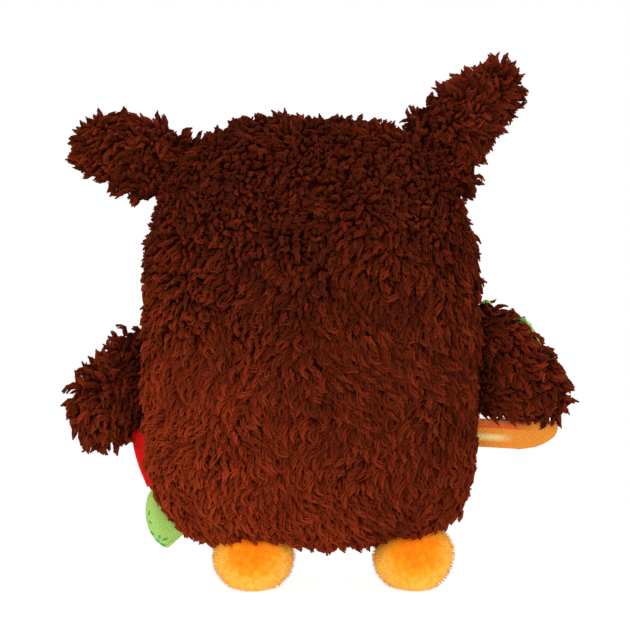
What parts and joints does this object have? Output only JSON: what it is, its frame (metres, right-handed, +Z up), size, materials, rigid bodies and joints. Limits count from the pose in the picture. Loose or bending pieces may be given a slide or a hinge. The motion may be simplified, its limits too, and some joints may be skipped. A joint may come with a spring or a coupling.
{
  "type": "plush owl",
  "caption": "Stuffed plush owl: pillow body of curly pile, floppy ears and wings, ball feet it stands on, with leaf flap and ribbon loops in the side seams.",
  "frame": {"origin": "on the floor between the feet, under the middle of the owl's bounding box", "axes": "+Z up; the owl faces -Y; its own left hand is at +X"},
  "size_m": [0.2427, 0.0896, 0.2506],
  "materials": {
    "brown_plush": "curly high-pile polyester plush, reddish brown, matte",
    "polyester_fibre": "loose hollow polyester fibre, white, pressed together by the cloth",
    "green_print": "light green printed cotton, matte",
    "orange_velour": "short-pile orange velour, matte",
    "orange_twill": "orange ribbed ribbon, slight sheen along the ribs",
    "red_satin": "bright red woven satin ribbon, soft sheen",
    "cream_felt": "cream felt, matte",
    "orange_felt": "orange felt, matte",
    "dark_felt": "near-black felt, matte"
  },
  "bodies": {
    "torso": {"body_filling": "polyester_fibre", "back_panel": "brown_plush", "front_panel": "brown_plush", "left_eye_disc": "cream_felt", "left_iris": "orange_felt", "left_pupil": "dark_felt", "right_eye_disc": "cream_felt", "right_iris": "orange_felt", "right_pupil": "dark_felt", "beak": "orange_velour", "belly_patch": "green_print"},
    "left_ear": {"left_ear_back_cover": "brown_plush", "left_ear_front_cover": "brown_plush", "left_ear_filling": "polyester_fibre"},
    "right_ear": {"right_ear_back_cover": "brown_plush", "right_ear_front_cover": "brown_plush", "right_ear_filling": "polyester_fibre"},
    "left_wing": {"left_wing_plush_back": "brown_plush", "left_wing_printed_lining": "green_print", "left_wing_wadding": "polyester_fibre"},
    "right_wing": {"right_wing_plush_back": "brown_plush", "right_wing_printed_lining": "green_print", "right_wing_wadding": "polyester_fibre"},
    "left_foot": {"left_foot_heel_cover": "orange_velour", "left_foot_toe_cover": "orange_velour", "left_foot_filling": "polyester_fibre"},
    "right_foot": {"right_foot_heel_cover": "orange_velour", "right_foot_toe_cover": "orange_velour", "right_foot_filling": "polyester_fibre"},
    "leaf": {"leaf_back_ply": "green_print", "leaf_front_ply": "green_print", "leaf_wadding": "polyester_fibre"},
    "label": {"label_loop": "red_satin"},
    "ribbon": {"ribbon_loop": "orange_twill"}
  },
  "joints": [
    {"name": "left_ear_flop", "type": "hinge", "parent": "torso", "child": "left_ear", "pos_m": [0.06832, 0.00537, 0.19618], "axis": [-0.5498, 0, 0.8353], "range_deg": [-50, 50], "stiffness_Nm_per_rad": 0.02},
    {"name": "right_ear_flop", "type": "hinge", "parent": "torso", "child": "right_ear", "pos_m": [-0.05709, 0.00537, 0.2033], "axis": [-0.6868, 0, -0.7269], "range_deg": [-50, 50], "stiffness_Nm_per_rad": 0.02},
    {"name": "left_wing_swing", "type": "hinge", "parent": "torso", "child": "left_wing", "pos_m": [0.08179, 0.00537, 0.09896], "axis": [0.0034, 0, 1], "range_deg": [-70, 50], "stiffness_Nm_per_rad": 0.02},
    {"name": "right_wing_swing", "type": "hinge", "parent": "torso", "child": "right_wing", "pos_m": [-0.07619, 0.00537, 0.10698], "axis": [0.0007, 0, -1], "range_deg": [-70, 50], "stiffness_Nm_per_rad": 0.02},
    {"name": "left_foot_rock", "type": "hinge", "parent": "torso", "child": "left_foot", "pos_m": [0.02917, 0.00537, 0.02204], "axis": [0.9997, 0, 0.0238], "range_deg": [-15, 15], "stiffness_Nm_per_rad": 1.5},
    {"name": "right_foot_rock", "type": "hinge", "parent": "torso", "child": "right_foot", "pos_m": [-0.04359, 0.00537, 0.02381], "axis": [0.9812, 0, -0.1931], "range_deg": [-15, 15], "stiffness_Nm_per_rad": 1.5},
    {"name": "leaf_flip", "type": "hinge", "parent": "torso", "child": "leaf", "pos_m": [0.07213, 0.00537, 0.0368], "axis": [0.5716, 0, 0.8205], "range_deg": [-60, 60], "stiffness_Nm_per_rad": 0.002},
    {"name": "label_flip", "type": "hinge", "parent": "torso", "child": "label", "pos_m": [0.08041, 0.00537, 0.06102], "axis": [0.1355, 0, 0.9908], "range_deg": [-60, 60], "stiffness_Nm_per_rad": 0.002},
    {"name": "ribbon_flip", "type": "hinge", "parent": "torso", "child": "ribbon", "pos_m": [-0.07577, 0.00537, 0.07376], "axis": [0.0548, 0, -0.9985], "range_deg": [-50, 50], "stiffness_Nm_per_rad": 0.002}
  ]
}
